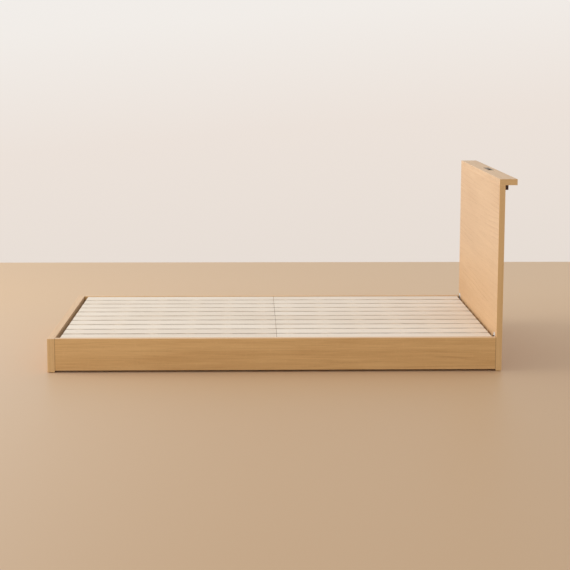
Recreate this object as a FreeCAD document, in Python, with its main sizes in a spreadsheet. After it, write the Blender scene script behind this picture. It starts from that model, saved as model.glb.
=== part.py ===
import FreeCAD, Part
import os
import Sketcher

# A low bed frame. +X points to the headboard, +Y to the left of somebody facing it, +Z up.
# The origin is on the floor, in the middle of the frame's length and width.

NODES_FOLDER = "parts"
SLAT_COUNT = 10
BATTEN_COUNT = 6
ALL_BOX_EDGES = [f"Edge{number}" for number in range(1, 13)]

SIZES = {
    "bed_length": 2080,
    "bed_width": 980,
    "bed_height": 866,
    "foot_board_thickness": 32,
    "headboard_thickness": 26,
    "shelf_depth": 79,
    "shelf_thickness": 27,
    "edge_round": 1,
    "rail_thickness": 23,
    "rail_height": 144,
    "rail_floor_gap": 10,
    "glide_diameter": 22,
    "glide_thickness": 2,
    "glide_pin_diameter": 5,
    "glide_pin_length": 10,
    "glide_inset": 45,
    "dowel_diameter": 8,
    "dowel_length": 30,
    "shelf_dowel_inset": 70,
    "slat_width": 76,
    "slat_thickness": 12,
    "slat_round": 2,
    "slat_drop": 3,
    "deck_side_clearance": 2.5,
    "deck_foot_clearance": 20,
    "deck_head_clearance": 13,
    "deck_split_gap": 1,
    "batten_width": 45,
    "batten_thickness": 18,
    "batten_inset": 58.5,
    "nail_diameter": 1.8,
    "nail_head_diameter": 4,
    "nail_head_thickness": 0.8,
    "nail_length": 26,
    "ledger_width": 24,
    "ledger_height": 30,
    "ledger_end_gap": 44,
    "ledger_screw_inset": 70,
    "screw_diameter": 4,
    "screw_head_diameter": 8,
    "screw_head_thickness": 3,
    "screw_bite": 14,
    "beam_width": 40,
    "beam_height": 58,
    "beam_end_clearance": 4,
    "leg_length": 60,
    "leg_pitch": 620,
    "hanger_wall": 2.5,
    "hanger_reach": 38,
    "hanger_height": 44,
    "hanger_side_clearance": 0.5,
    "bracket_wall": 3,
    "bracket_board_leg": 30,
    "bracket_rail_leg": 36,
    "bracket_height": 54,
    "bracket_slat_clearance": 23,
    "bracket_tab_rise": 17,
    "tab_bolt_drop": 6,
    "bolt_diameter": 6,
    "bolt_head_diameter": 13,
    "bolt_head_thickness": 3.5,
    "bolt_bite": 20,
    "corner_block_depth": 17,
    "corner_block_drop": 23,
    "corner_block_length": 36,
    "corner_block_inset": 20,
    "corner_block_inner_offset": 170,
    "corner_block_rib": 3,
    "corner_block_hollow": 5,
    "outlet_headboard_gap": 10,
    "outlet_length": 132,
    "outlet_width": 26,
    "outlet_flange": 3,
    "outlet_flange_thickness": 2.5,
    "outlet_flange_proud": 1,
    "outlet_fit": 0.4,
    "outlet_wall": 2,
    "outlet_housing_drop": 12,
    "socket_length": 50,
    "socket_offset": 29,
    "socket_depth": 13,
    "blade_slot_length": 8,
    "blade_slot_width": 2.4,
    "blade_slot_spacing": 12.7,
    "contact_thickness": 0.8,
    "contact_length": 6,
    "contact_height": 18,
    "gland_diameter": 11,
    "gland_bore": 7,
    "gland_length": 16,
}

doc = FreeCAD.newDocument("BedFrame")
nodes = []


def size(name):
    """The formula that reads one driving size."""
    return f"Sizes.{name}"


# Places that several pieces share, as formulas on the driving sizes.
FOOT_OUTER_X = f"(-{size('bed_length')} / 2)"
FOOT_INNER_X = f"({FOOT_OUTER_X} + {size('foot_board_thickness')})"
HEAD_FRONT_X = f"({size('bed_length')} / 2 - {size('shelf_depth')})"
HEAD_BACK_X = f"({HEAD_FRONT_X} + {size('headboard_thickness')})"
INNER_LENGTH = f"({HEAD_FRONT_X} - {FOOT_INNER_X})"
HALF_WIDTH = f"({size('bed_width')} / 2)"
INNER_HALF_WIDTH = f"({HALF_WIDTH} - {size('rail_thickness')})"
RAIL_MIDDLE_Y = f"({HALF_WIDTH} - {size('rail_thickness')} / 2)"
RAIL_TOP_Z = f"({size('rail_floor_gap')} + {size('rail_height')})"
SLAT_BASE_Z = f"({RAIL_TOP_Z} - {size('slat_drop')} - {size('slat_thickness')})"
SLAT_TOP_Z = f"({SLAT_BASE_Z} + {size('slat_thickness')})"
BATTEN_BASE_Z = f"({SLAT_BASE_Z} - {size('batten_thickness')})"
BEAM_BASE_Z = f"({BATTEN_BASE_Z} - {size('beam_height')})"
SHELF_BASE_Z = f"({size('bed_height')} - {size('shelf_thickness')})"
DECK_WIDTH = f"({size('bed_width')} - 2 * {size('rail_thickness')} - 2 * {size('deck_side_clearance')})"
DECK_LENGTH = f"({INNER_LENGTH} - {size('deck_foot_clearance')} - {size('deck_head_clearance')})"
PANEL_LENGTH = f"(({DECK_LENGTH} - {size('deck_split_gap')}) / 2)"
SLAT_SPREAD = f"({DECK_WIDTH} - {size('slat_width')})"
BATTEN_SPREAD = f"({PANEL_LENGTH} - 2 * {size('batten_inset')})"
LEDGER_LENGTH = f"({INNER_LENGTH} - 2 * {size('ledger_end_gap')})"
LEDGER_MIDDLE_Z = f"({BATTEN_BASE_Z} - {size('ledger_height')} / 2)"
DECK_START_X = {
    "foot": f"({FOOT_INNER_X} + {size('deck_foot_clearance')})",
    "head": f"({HEAD_FRONT_X} - {size('deck_head_clearance')} - {PANEL_LENGTH})",
}
SIDES = {"left": 1, "right": -1}
OUTLET_INNER_WIDTH = f"({size('outlet_width')} - 2 * {size('outlet_flange')})"
OUTLET_INNER_LENGTH = f"({size('outlet_length')} - 2 * {size('outlet_flange')})"
OUTLET_X = f"({HEAD_BACK_X} + {size('outlet_headboard_gap')} + {OUTLET_INNER_WIDTH} / 2)"


def make_sheet():
    sheet = doc.addObject("Spreadsheet::Sheet", "Sizes")
    for row, (name, value) in enumerate(SIZES.items(), start=1):
        sheet.set(f"A{row}", name)
        sheet.set(f"B{row}", str(value))
        sheet.setAlias(f"B{row}", name)
    doc.recompute()


def place(item, corner):
    for axis, formula in zip("xyz", corner):
        item.setExpression(f"Placement.Base.{axis}", formula)


def keep(item, label):
    """Marks a finished sub-part, which is written under its label."""
    item.Label = label
    nodes.append(item)
    return item


def box(name, lengths, corner):
    """A plain block: its three lengths and its lowest corner."""
    item = doc.addObject("Part::Box", name)
    for side, formula in zip(("Length", "Width", "Height"), lengths):
        item.setExpression(side, formula)
    place(item, corner)
    return item


TURN_TO = {
    "+X": FreeCAD.Rotation(FreeCAD.Vector(0, 1, 0), 90),
    "-X": FreeCAD.Rotation(FreeCAD.Vector(0, 1, 0), -90),
    "+Y": FreeCAD.Rotation(FreeCAD.Vector(1, 0, 0), -90),
    "-Y": FreeCAD.Rotation(FreeCAD.Vector(1, 0, 0), 90),
    "+Z": FreeCAD.Rotation(),
    "-Z": FreeCAD.Rotation(FreeCAD.Vector(1, 0, 0), 180),
}


def rod(name, diameter, length, start, towards):
    """A cylinder from its start point along one row axis."""
    item = doc.addObject("Part::Cylinder", name)
    item.setExpression("Radius", f"{diameter} / 2")
    item.setExpression("Height", length)
    item.Placement = FreeCAD.Placement(FreeCAD.Vector(), TURN_TO[towards])
    place(item, start)
    return item


def fuse(name, items):
    joined = doc.addObject("Part::MultiFuse", name)
    joined.Shapes = items
    return joined


def group(name, items):
    together = doc.addObject("Part::Compound", name)
    together.Links = items
    return together


def cut(name, base, tools):
    carved = doc.addObject("Part::Cut", name)
    carved.Base = base
    carved.Tool = tools[0] if len(tools) == 1 else group(name + "_tools", tools)
    return carved


def origin_plane(body, role):
    return next(plane for plane in body.Origin.OriginFeatures if plane.Role == role)


def add_rectangle(sketch, width, depth):
    """A rectangle from the sketch's origin, with both its sizes bound."""
    corners = [FreeCAD.Vector(x, y, 0) for x, y in ((0, 0), (10, 0), (10, 10), (0, 10))]
    for index in range(4):
        sketch.addGeometry(Part.LineSegment(corners[index], corners[(index + 1) % 4]), False)
    for index in range(4):
        sketch.addConstraint(Sketcher.Constraint("Coincident", index, 2, (index + 1) % 4, 1))
    for index, kind in enumerate(("Horizontal", "Vertical", "Horizontal", "Vertical")):
        sketch.addConstraint(Sketcher.Constraint(kind, index))
    sketch.addConstraint(Sketcher.Constraint("Coincident", 0, 1, -1, 1))
    for line, name, formula in ((0, "wide", width), (1, "deep", depth)):
        number = sketch.addConstraint(Sketcher.Constraint("Distance", line, 10))
        sketch.renameConstraint(number, name)
        sketch.setExpression(f"Constraints.{name}", formula)


def add_circle(sketch, diameter, across, along):
    """A circle whose centre stands off the sketch's two axes by bound distances."""
    sketch.addGeometry(Part.Circle(FreeCAD.Vector(5, 5, 0), FreeCAD.Vector(0, 0, 1), 2), False)
    for name, kind, formula in (("across", "DistanceX", across), ("along", "DistanceY", along)):
        number = sketch.addConstraint(Sketcher.Constraint(kind, -1, 1, 0, 3, 5))
        sketch.renameConstraint(number, name)
        sketch.setExpression(f"Constraints.{name}", formula)
    number = sketch.addConstraint(Sketcher.Constraint("Diameter", 0, 4))
    sketch.renameConstraint(number, "bore")
    sketch.setExpression("Constraints.bore", diameter)


def new_sketch(body, name, role):
    sketch = body.newObject("Sketcher::SketchObject", name)
    sketch.AttachmentSupport = [(origin_plane(body, role), "")]
    sketch.MapMode = "FlatFace"
    return sketch


def rounded_board(name, lengths, corner, rounding):
    """A PartDesign board with all its edges rounded: a padded rectangle and a fillet."""
    body = doc.addObject("PartDesign::Body", name)
    sketch = new_sketch(body, name + "_outline", "XY_Plane")
    add_rectangle(sketch, lengths[0], lengths[1])
    pad = body.newObject("PartDesign::Pad", name + "_pad")
    pad.Profile = sketch
    pad.setExpression("Length", lengths[2])
    fillet = body.newObject("PartDesign::Fillet", name + "_edges")
    fillet.Base = (pad, ALL_BOX_EDGES)
    fillet.setExpression("Radius", rounding)
    place(body, corner)
    return body


def side_start(sign, nearest, width):
    """The lower Y of a piece that starts at a distance from the middle and runs outwards."""
    return nearest if sign > 0 else f"(-{nearest} - {width})"


# ---- dowels, glides and boards ----

def dowel_rods(name, sides=tuple(SIDES)):
    """Two dowels at each end of a side rail, half in the rail and half in the board."""
    rods = []
    for side in sides:
        sign = SIDES[side]
        for end, joint_x in (("foot", FOOT_INNER_X), ("head", HEAD_FRONT_X)):
            for level, share in (("low", 0.25), ("high", 0.75)):
                start_x = f"{joint_x} - {size('dowel_length')} / 2"
                start_z = f"{size('rail_floor_gap')} + {share} * {size('rail_height')}"
                start = (start_x, f"{sign} * {RAIL_MIDDLE_Y}", start_z)
                rods.append(rod(f"{name}_{side}_{end}_{level}", size("dowel_diameter"),
                                size("dowel_length"), start, "+X"))
    return rods


def shelf_dowel_rods(name):
    """Five upright dowels between the headboard's top edge and the shelf."""
    rods = []
    for step in range(-2, 3):
        start = (f"{HEAD_FRONT_X} + {size('headboard_thickness')} / 2",
                 f"{step} / 2 * ({HALF_WIDTH} - {size('shelf_dowel_inset')})",
                 f"{SHELF_BASE_Z} - {size('dowel_length')} / 2")
        rods.append(rod(f"{name}_{step + 3}", size("dowel_diameter"), size("dowel_length"), start, "+Z"))
    return rods


def leg_positions():
    return [f"({step} * {size('leg_pitch')})" for step in (-1, 0, 1)]


def glide_centres():
    """The glides' centres: two under each end board and one under each leg."""
    glide_y = f"({HALF_WIDTH} - {size('glide_inset')})"
    foot_x = f"({FOOT_OUTER_X} + {size('foot_board_thickness')} / 2)"
    head_x = f"({HEAD_FRONT_X} + {size('headboard_thickness')} / 2)"
    centres = {}
    for side, sign in SIDES.items():
        centres[f"foot_{side}"] = (foot_x, f"{sign} * {glide_y}")
        centres[f"head_{side}"] = (head_x, f"{sign} * {glide_y}")
    for number, leg_x in enumerate(leg_positions(), start=1):
        centres[f"leg_{number}"] = (leg_x, "0")
    return centres


def glide_pins(name, wanted):
    pin_length = f"{size('glide_pin_length')}"
    return [rod(f"{name}_{key}", size("glide_pin_diameter"), pin_length,
                (centre[0], centre[1], size("glide_thickness")), "+Z")
            for key, centre in glide_centres().items() if key.startswith(wanted)]


def make_glides():
    glides = []
    for key, centre in glide_centres().items():
        pad = rod(f"glide_pad_{key}", size("glide_diameter"), size("glide_thickness"),
                  (centre[0], centre[1], "0"), "+Z")
        pin = rod(f"glide_pin_{key}", size("glide_pin_diameter"), size("glide_pin_length"),
                  (centre[0], centre[1], size("glide_thickness")), "+Z")
        glides.append(fuse(f"glide_{key}", [pad, pin]))
    keep(group("glide_group", glides), "floor_glides")


def make_foot_board():
    lengths = (size("foot_board_thickness"), size("bed_width"), f"{RAIL_TOP_Z} - {size('glide_thickness')}")
    board = rounded_board("foot_board_blank", lengths,
                          (FOOT_OUTER_X, f"-{HALF_WIDTH}", size("glide_thickness")), size("edge_round"))
    tools = dowel_rods("foot_board_bore") + glide_pins("foot_board_pin_bore", "foot")
    tools += bolt_rods("foot_board_bolt_bore", "foot") + hanger_screw_rods("foot_board_hanger_bore", "foot")
    keep(cut("foot_board_cut", board, tools), "foot_board")


def make_headboard_panel():
    lengths = (size("headboard_thickness"), size("bed_width"), f"{SHELF_BASE_Z} - {size('glide_thickness')}")
    board = rounded_board("headboard_blank", lengths,
                          (HEAD_FRONT_X, f"-{HALF_WIDTH}", size("glide_thickness")), size("edge_round"))
    tools = dowel_rods("headboard_bore") + glide_pins("headboard_pin_bore", "head")
    tools += shelf_dowel_rods("headboard_shelf_bore") + bolt_rods("headboard_bolt_bore", "head")
    tools += hanger_screw_rods("headboard_hanger_bore", "head")
    tools += block_screw_rods("headboard_block_bore", "back")
    keep(cut("headboard_cut", board, tools), "headboard_panel")


def make_shelf():
    lengths = (size("shelf_depth"), size("bed_width"), size("shelf_thickness"))
    board = rounded_board("shelf_blank", lengths, (HEAD_FRONT_X, f"-{HALF_WIDTH}", SHELF_BASE_Z),
                          size("edge_round"))
    tools = shelf_dowel_rods("shelf_bore") + block_screw_rods("shelf_block_bore", "under")
    tools += [outlet_slot(), outlet_recess()]
    keep(cut("shelf_cut", board, tools), "headboard_shelf")


def make_side_rail(side):
    sign = SIDES[side]
    lengths = (INNER_LENGTH, size("rail_thickness"), size("rail_height"))
    start_y = side_start(sign, INNER_HALF_WIDTH, size("rail_thickness"))
    board = rounded_board(f"rail_{side}_blank", lengths,
                          (FOOT_INNER_X, start_y, size("rail_floor_gap")), size("edge_round"))
    tools = dowel_rods(f"rail_{side}_bore", (side,))
    tools += ledger_shanks(f"rail_{side}_ledger_bore", side)
    tools += bracket_screw_shanks(f"rail_{side}_bracket_bore", side)
    keep(cut(f"rail_{side}_cut", board, tools), f"side_rail_{side}")


# ---- ledgers that carry the deck ----

LEDGER_SCREW_COUNT = 7


def ledger_screw_xs():
    spread = f"({LEDGER_LENGTH} - 2 * {size('ledger_screw_inset')})"
    first = f"({FOOT_INNER_X} + {size('ledger_end_gap')} + {size('ledger_screw_inset')})"
    return [f"({first} + {spread} * {step} / {LEDGER_SCREW_COUNT - 1})" for step in range(LEDGER_SCREW_COUNT)]


def outward(sign):
    return "+Y" if sign > 0 else "-Y"


def ledger_shanks(name, side):
    """The screws' shanks, from the ledger's inner face through it and into the rail."""
    sign = SIDES[side]
    start_y = f"{sign} * ({INNER_HALF_WIDTH} - {size('ledger_width')})"
    length = f"{size('ledger_width')} + {size('screw_bite')}"
    return [rod(f"{name}_{number}", size("screw_diameter"), length,
                (screw_x, start_y, LEDGER_MIDDLE_Z), outward(sign))
            for number, screw_x in enumerate(ledger_screw_xs(), start=1)]


def ledger_heads(name, side):
    sign = SIDES[side]
    start_y = f"{sign} * ({INNER_HALF_WIDTH} - {size('ledger_width')})"
    return [rod(f"{name}_{number}", size("screw_head_diameter"), size("screw_head_thickness"),
                (screw_x, start_y, LEDGER_MIDDLE_Z), outward(sign))
            for number, screw_x in enumerate(ledger_screw_xs(), start=1)]


def make_ledger(side):
    sign = SIDES[side]
    lengths = (LEDGER_LENGTH, size("ledger_width"), size("ledger_height"))
    start_y = side_start(sign, f"({INNER_HALF_WIDTH} - {size('ledger_width')})", size("ledger_width"))
    start = (f"{FOOT_INNER_X} + {size('ledger_end_gap')}", start_y,
             f"{BATTEN_BASE_Z} - {size('ledger_height')}")
    board = rounded_board(f"ledger_{side}_blank", lengths, start, size("edge_round"))
    tools = ledger_shanks(f"ledger_{side}_bore", side) + ledger_heads(f"ledger_{side}_sink", side)
    keep(cut(f"ledger_{side}_cut", board, tools), f"slat_ledger_{side}")


def make_ledger_screws():
    screws = []
    for side in SIDES:
        shanks = ledger_shanks(f"ledger_screw_{side}_shank", side)
        heads = ledger_heads(f"ledger_screw_{side}_head", side)
        for number, pair in enumerate(zip(shanks, heads), start=1):
            screws.append(fuse(f"ledger_screw_{side}_{number}", list(pair)))
    keep(group("ledger_screw_group", screws), "ledger_screws")


# ---- middle beam, its legs and its hangers ----

def leg_dowel_rods(name):
    start_z = f"{BEAM_BASE_Z} - {size('dowel_length')} / 2"
    return [rod(f"{name}_{number}", size("dowel_diameter"), size("dowel_length"), (leg_x, "0", start_z), "+Z")
            for number, leg_x in enumerate(leg_positions(), start=1)]


def make_centre_beam():
    clearance = size("beam_end_clearance")
    lengths = (f"{INNER_LENGTH} - 2 * {clearance}", size("beam_width"), size("beam_height"))
    start = (f"{FOOT_INNER_X} + {clearance}", f"-{size('beam_width')} / 2", BEAM_BASE_Z)
    board = rounded_board("beam_blank", lengths, start, size("edge_round"))
    keep(cut("beam_cut", board, leg_dowel_rods("beam_bore")), "centre_beam")


def make_beam_legs():
    blanks = []
    for number, leg_x in enumerate(leg_positions(), start=1):
        lengths = (size("leg_length"), size("beam_width"), f"{BEAM_BASE_Z} - {size('glide_thickness')}")
        start = (f"{leg_x} - {size('leg_length')} / 2", f"-{size('beam_width')} / 2", size("glide_thickness"))
        blanks.append(rounded_board(f"leg_{number}_blank", lengths, start, size("edge_round")))
    tools = leg_dowel_rods("leg_bore") + glide_pins("leg_pin_bore", "leg")
    keep(cut("legs_cut", group("leg_blanks", blanks), tools), "beam_legs")


HANGER_ENDS = {"foot": (FOOT_INNER_X, 1), "head": (HEAD_FRONT_X, -1)}
HANGER_HALF_WIDTH = f"({size('beam_width')} / 2 + {size('hanger_side_clearance')} + {size('hanger_wall')})"


def hanger_screw_rods(name, end, part="shank"):
    """The two screws that hold a hanger's back plate, above each other beside the beam's end."""
    joint_x, inward = HANGER_ENDS[end]
    wide = part == "head"
    towards = "-X" if inward > 0 else "+X"
    wall = size("hanger_wall")
    face = f"({joint_x} + {inward} * {wall})"
    diameter = size("screw_head_diameter") if wide else size("screw_diameter")
    length = size("screw_head_thickness") if wide else f"{size('screw_bite')} + {wall}"
    start_x = f"{face} + {inward} * {size('screw_head_thickness')}" if wide else face
    ear = f"({HANGER_HALF_WIDTH} + {size('screw_head_diameter')})"
    start_z = f"{BEAM_BASE_Z} + {size('hanger_height')} / 2"
    return [rod(f"{name}_{side}", diameter, length, (start_x, f"{sign} * {ear}", start_z), towards)
            for side, sign in SIDES.items()]


def make_beam_hangers():
    hangers = []
    wall = size("hanger_wall")
    half_gap = f"({size('beam_width')} / 2 + {size('hanger_side_clearance')})"
    ear = f"({HANGER_HALF_WIDTH} + 2 * {size('screw_head_diameter')})"
    for end, (joint_x, inward) in HANGER_ENDS.items():
        plate_x = joint_x if inward > 0 else f"{joint_x} - {wall}"
        reach_x = joint_x if inward > 0 else f"{joint_x} - {size('hanger_reach')}"
        base_z = f"{BEAM_BASE_Z} - {wall}"
        height = f"{size('hanger_height')} + {wall}"
        pieces = [box(f"hanger_{end}_back", (wall, f"2 * {ear}", height), (plate_x, f"-{ear}", base_z)),
                  box(f"hanger_{end}_sole", (size("hanger_reach"), f"2 * {HANGER_HALF_WIDTH}", wall),
                      (reach_x, f"-{HANGER_HALF_WIDTH}", base_z))]
        for side, sign in SIDES.items():
            start_y = side_start(sign, half_gap, wall)
            pieces.append(box(f"hanger_{end}_cheek_{side}", (size("hanger_reach"), wall, height),
                              (reach_x, start_y, base_z)))
        hangers.append(cut(f"hanger_{end}", fuse(f"hanger_{end}_body", pieces),
                           hanger_screw_rods(f"hanger_{end}_hole", end)))
    keep(group("hanger_group", hangers), "beam_hangers")


def make_leg_dowels():
    keep(group("leg_dowel_group", leg_dowel_rods("leg_dowel")), "leg_dowels")


# ---- corner brackets with their bolts and screws ----

def bracket_base_z():
    return f"({SLAT_BASE_Z} - {size('bracket_slat_clearance')} - {size('bracket_height')})"


def tab_centre_z():
    """The middle of the round top of a head bracket, which stands above the rail."""
    return f"({RAIL_TOP_Z} + {size('bracket_tab_rise')} - {size('bracket_board_leg')} / 2)"


def bolt_levels(end):
    low = f"({bracket_base_z()} + {size('bracket_height')} / 4)"
    high = f"({bracket_base_z()} + {size('bracket_height')} * 3 / 4)"
    if end == "head":
        high = f"({tab_centre_z()} - {size('tab_bolt_drop')})"
    return (low, high)


def bolt_rods(name, end, part="shank"):
    """The bolts through the brackets' board legs, as shanks or as heads."""
    joint_x, inward = HANGER_ENDS[end]
    towards = "-X" if inward > 0 else "+X"
    face = f"({joint_x} + {inward} * {size('bracket_wall')})"
    wide = part == "head"
    diameter = size("bolt_head_diameter") if wide else size("bolt_diameter")
    length = size("bolt_head_thickness") if wide else f"{size('bolt_bite')} + {size('bracket_wall')}"
    start_x = f"{face} + {inward} * {size('bolt_head_thickness')}" if wide else face
    bolt_y = f"({INNER_HALF_WIDTH} - {size('bracket_board_leg')} / 2)"
    rods = []
    for side, sign in SIDES.items():
        for level, start_z in enumerate(bolt_levels(end), start=1):
            rods.append(rod(f"{name}_{side}_{level}", diameter, length,
                            (start_x, f"{sign} * {bolt_y}", start_z), towards))
    return rods


def bracket_screw_places(end, side):
    joint_x, inward = HANGER_ENDS[end]
    sign = SIDES[side]
    screw_x = f"{joint_x} + {inward} * {size('bracket_rail_leg')} * 2 / 3"
    screw_y = f"{sign} * ({INNER_HALF_WIDTH} - {size('bracket_wall')})"
    levels = (f"{bracket_base_z()} + {size('bracket_height')} / 4",
              f"{bracket_base_z()} + {size('bracket_height')} * 3 / 4")
    return [(screw_x, screw_y, level) for level in levels]


def bracket_screw_shanks(name, side, ends=("foot", "head")):
    sign = SIDES[side]
    length = f"{size('screw_bite')} + {size('bracket_wall')}"
    return [rod(f"{name}_{end}_{number}", size("screw_diameter"), length, start, outward(sign))
            for end in ends
            for number, start in enumerate(bracket_screw_places(end, side), start=1)]


def bracket_screw_heads(name, side):
    sign = SIDES[side]
    heads = []
    for end in HANGER_ENDS:
        for number, (screw_x, screw_y, screw_z) in enumerate(bracket_screw_places(end, side), start=1):
            start = (screw_x, f"{screw_y} - {sign} * {size('screw_head_thickness')}", screw_z)
            heads.append(rod(f"{name}_{end}_{number}", size("screw_head_diameter"),
                             size("screw_head_thickness"), start, outward(sign)))
    return heads


def bracket_body(end, side):
    joint_x, inward = HANGER_ENDS[end]
    sign = SIDES[side]
    wall = size("bracket_wall")
    leg = size("bracket_board_leg")
    plate_x = joint_x if inward > 0 else f"{joint_x} - {wall}"
    reach_x = joint_x if inward > 0 else f"{joint_x} - {size('bracket_rail_leg')}"
    leg_y = side_start(sign, f"({INNER_HALF_WIDTH} - {leg})", leg)
    wall_y = side_start(sign, f"({INNER_HALF_WIDTH} - {wall})", wall)
    base_z = bracket_base_z()
    board_height = f"{tab_centre_z()} - {base_z}" if end == "head" else size("bracket_height")
    pieces = [box(f"bracket_{end}_{side}_board_leg", (wall, leg, board_height), (plate_x, leg_y, base_z)),
              box(f"bracket_{end}_{side}_rail_leg", (size("bracket_rail_leg"), wall, size("bracket_height")),
                  (reach_x, wall_y, base_z))]
    if end == "head":
        middle_y = f"{sign} * ({INNER_HALF_WIDTH} - {leg} / 2)"
        pieces.append(rod(f"bracket_{end}_{side}_tab", leg, wall, (plate_x, middle_y, tab_centre_z()), "+X"))
    return fuse(f"bracket_{end}_{side}_body", pieces)


def make_brackets(end):
    bodies = [bracket_body(end, side) for side in SIDES]
    tools = bolt_rods(f"bracket_{end}_bolt_hole", end)
    for side in SIDES:
        tools += bracket_screw_shanks(f"bracket_{end}_{side}_hole", side, (end,))
    keep(cut(f"bracket_{end}_cut", group(f"bracket_{end}_pair", bodies), tools), f"{end}_corner_brackets")


def make_bracket_bolts():
    bolts = []
    for end in HANGER_ENDS:
        shanks = bolt_rods(f"bolt_shank_{end}", end)
        heads = bolt_rods(f"bolt_head_{end}", end, "head")
        for number, pair in enumerate(zip(shanks, heads), start=1):
            bolts.append(fuse(f"bolt_{end}_{number}", list(pair)))
    keep(group("bolt_group", bolts), "bracket_bolts")


def make_bracket_screws():
    screws = []
    for side in SIDES:
        shanks = bracket_screw_shanks(f"bracket_screw_shank_{side}", side)
        heads = bracket_screw_heads(f"bracket_screw_head_{side}", side)
        for number, pair in enumerate(zip(shanks, heads), start=1):
            screws.append(fuse(f"bracket_screw_{side}_{number}", list(pair)))
    for end in HANGER_ENDS:
        shanks = hanger_screw_rods(f"hanger_screw_shank_{end}", end)
        heads = hanger_screw_rods(f"hanger_screw_head_{end}", end, "head")
        for number, pair in enumerate(zip(shanks, heads), start=1):
            screws.append(fuse(f"hanger_screw_{end}_{number}", list(pair)))
    keep(group("bracket_screw_group", screws), "bracket_screws")


def make_rail_dowels():
    keep(group("rail_dowel_group", dowel_rods("rail_dowel")), "rail_dowels")


def make_shelf_dowels():
    keep(group("shelf_dowel_group", shelf_dowel_rods("shelf_dowel")), "shelf_dowels")


# ---- corner blocks under the shelf ----

def block_middles():
    """The Y of each block's middle: one near each end and two beside the outlet."""
    end = f"({HALF_WIDTH} - {size('corner_block_inset')} - {size('corner_block_length')} / 2)"
    inner = f"({size('corner_block_inner_offset')})"
    return {"left": end, "inner_left": inner, "inner_right": f"(-{inner})", "right": f"(-{end})"}


def block_screw_rods(name, which, part="shank"):
    """Each block's two screws: one back into the headboard, one up into the shelf."""
    wide = part == "head"
    diameter = size("screw_head_diameter") if wide else size("screw_diameter")
    quarter = f"{size('corner_block_length')} / 4"
    rods = []
    for key, middle in block_middles().items():
        sink = size("corner_block_hollow")
        if which == "back":
            start_x = f"{HEAD_BACK_X} + {sink}"
            start = (start_x if not wide else f"{start_x} + {size('screw_head_thickness')}",
                     f"{middle} + {quarter}", f"{SHELF_BASE_Z} - {size('corner_block_drop')} / 2")
            towards = "-X"
        else:
            start_z = f"{SHELF_BASE_Z} - {sink}"
            start = (f"{HEAD_BACK_X} + {size('corner_block_depth')} / 2", f"{middle} - {quarter}",
                     start_z if not wide else f"{start_z} - {size('screw_head_thickness')}")
            towards = "+Z"
        length = size("screw_head_thickness") if wide else f"{size('screw_bite')} + {sink}"
        rods.append(rod(f"{name}_{key}", diameter, length, start, towards))
    return rods


def block_body(key, middle):
    """A moulded block with a stepped hollow at each screw and a rib left between two end hollows."""
    depth = size("corner_block_depth")
    drop = size("corner_block_drop")
    length = size("corner_block_length")
    rib = size("corner_block_rib")
    hollow = size("corner_block_hollow")
    blank = rounded_board(f"corner_block_{key}_blank", (depth, length, drop),
                          (HEAD_BACK_X, f"{middle} - {length} / 2", f"{SHELF_BASE_Z} - {drop}"),
                          f"{size('edge_round')}")
    cell_depth = f"{depth} - 2 * {rib}"
    cell_height = f"({drop} - 3 * {rib}) / 2"
    tools = []
    for level, lift in (("low", rib), ("high", f"{rib} + {cell_height} + {rib}")):
        for end, start_y in (("left", f"{middle} + {length} / 2 - {rib}"),
                             ("right", f"{middle} - {length} / 2")):
            start = (f"{HEAD_BACK_X} + {rib}", start_y, f"{SHELF_BASE_Z} - {drop} + {lift}")
            tools.append(box(f"corner_block_{key}_{level}_{end}", (cell_depth, rib, cell_height), start))
    quarter = f"{length} / 4"
    tools.append(rod(f"corner_block_{key}_back_sink", f"1.2 * {size('screw_head_diameter')}", depth,
                     (f"{HEAD_BACK_X} + {hollow}", f"{middle} + {quarter}",
                      f"{SHELF_BASE_Z} - {drop} / 2"), "+X"))
    tools.append(rod(f"corner_block_{key}_under_sink", f"1.2 * {size('screw_head_diameter')}", drop,
                     (f"{HEAD_BACK_X} + {depth} / 2", f"{middle} - {quarter}",
                      f"{SHELF_BASE_Z} - {hollow}"), "-Z"))
    return cut(f"corner_block_{key}", blank, tools)


def make_corner_blocks():
    bodies = [block_body(key, middle) for key, middle in block_middles().items()]
    tools = block_screw_rods("corner_block_back_hole", "back")
    tools += block_screw_rods("corner_block_under_hole", "under")
    keep(cut("corner_blocks_cut", group("corner_block_bodies", bodies), tools), "shelf_corner_blocks")


def make_block_screws():
    screws = []
    for which in ("back", "under"):
        shanks = block_screw_rods(f"block_screw_shank_{which}", which)
        heads = block_screw_rods(f"block_screw_head_{which}", which, "head")
        for number, pair in enumerate(zip(shanks, heads), start=1):
            screws.append(fuse(f"block_screw_{which}_{number}", list(pair)))
    keep(group("block_screw_group", screws), "corner_block_screws")


# ---- power outlet in the shelf ----

def flange_base_z():
    return f"({size('bed_height')} + {size('outlet_flange_proud')} - {size('outlet_flange_thickness')})"


def outlet_slot():
    width = f"({OUTLET_INNER_WIDTH} + 2 * {size('outlet_fit')})"
    length = f"({OUTLET_INNER_LENGTH} + 2 * {size('outlet_fit')})"
    return box("outlet_slot", (width, length, f"2 * {size('shelf_thickness')}"),
               (f"{OUTLET_X} - {width} / 2", f"-{length} / 2",
                f"{SHELF_BASE_Z} - {size('shelf_thickness')} / 2"))


def outlet_recess():
    width = f"({size('outlet_width')} + 2 * {size('outlet_fit')})"
    length = f"({size('outlet_length')} + 2 * {size('outlet_fit')})"
    return box("outlet_recess", (width, length, size("shelf_thickness")),
               (f"{OUTLET_X} - {width} / 2", f"-{length} / 2", flange_base_z()))


def housing_base_z():
    return f"({SHELF_BASE_Z} - {size('outlet_housing_drop')})"


def socket_centres():
    return {"left": size("socket_offset"), "right": f"(-{size('socket_offset')})"}


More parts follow.
